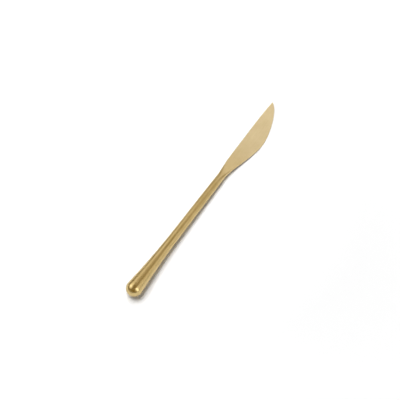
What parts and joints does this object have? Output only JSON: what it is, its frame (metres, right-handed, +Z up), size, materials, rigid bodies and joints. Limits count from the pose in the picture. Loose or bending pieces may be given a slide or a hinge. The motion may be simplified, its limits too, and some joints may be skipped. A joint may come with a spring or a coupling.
{
  "type": "dessert knife",
  "caption": "Satin gold dessert knife: a slim round hollow handle that swells to a drop-shaped end, and a leaf-shaped blade with a nearly straight spine and a curved cutting edge.",
  "frame": {"origin": "On the table under the middle of the knife's box, with the knife lying as it is put down: the drop-shaped end, the end of the neck and the cutting edge touch z = 0.", "axes": "+X runs along the knife from the handle to the tip, +Z is up from the table, +Y is the side of the spine and -Y the side of the cutting edge."},
  "size_m": [0.205, 0.0173, 0.0126],
  "materials": {
    "gold_steel": "satin-brushed stainless steel with a thin gold coating",
    "gold_braze": "braze ground flush and coated with the steel beside it",
    "cement": "mineral cutlery cement, matt, out of sight"
  },
  "bodies": {
    "root": {"blade": "gold_steel", "handle_half_upper": "gold_steel", "handle_half_lower": "gold_steel", "seam_braze": "gold_braze", "collar_braze": "gold_braze", "tang_cement": "cement"}
  },
  "joints": []
}
